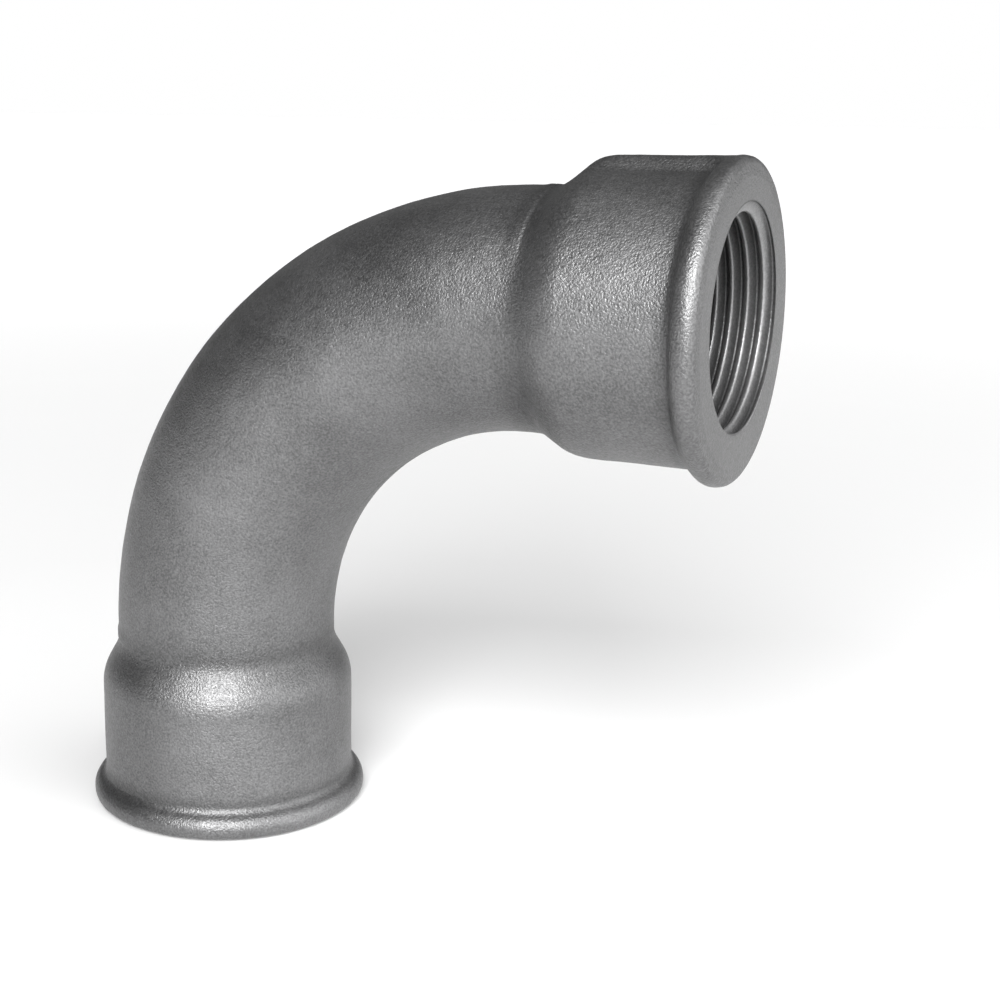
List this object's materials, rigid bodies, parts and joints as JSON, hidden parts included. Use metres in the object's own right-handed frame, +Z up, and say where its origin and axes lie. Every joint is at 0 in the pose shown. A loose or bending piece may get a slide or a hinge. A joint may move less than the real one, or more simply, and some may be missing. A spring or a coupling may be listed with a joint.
{
  "type": "pipe elbow",
  "caption": "Long sweep 90 degree pipe bend in cast malleable iron, with a beaded and internally threaded socket on each end.",
  "frame": {"origin": "centre of the lower port's end face", "axes": "+Z runs up the lower port's axis into the bend, and +X points out of the upper port"},
  "size_m": [0.1078, 0.0456, 0.1078],
  "materials": {
    "as_cast_iron": "fine grained as-cast skin, blasted clean, dull metallic grey",
    "cut_iron": "machined, satin, with fine tool lines round the thread"
  },
  "bodies": {
    "root": {"bend": "as_cast_iron", "lower_socket": "as_cast_iron", "upper_socket": "as_cast_iron", "lower_thread": "cut_iron", "upper_thread": "cut_iron"}
  },
  "joints": []
}
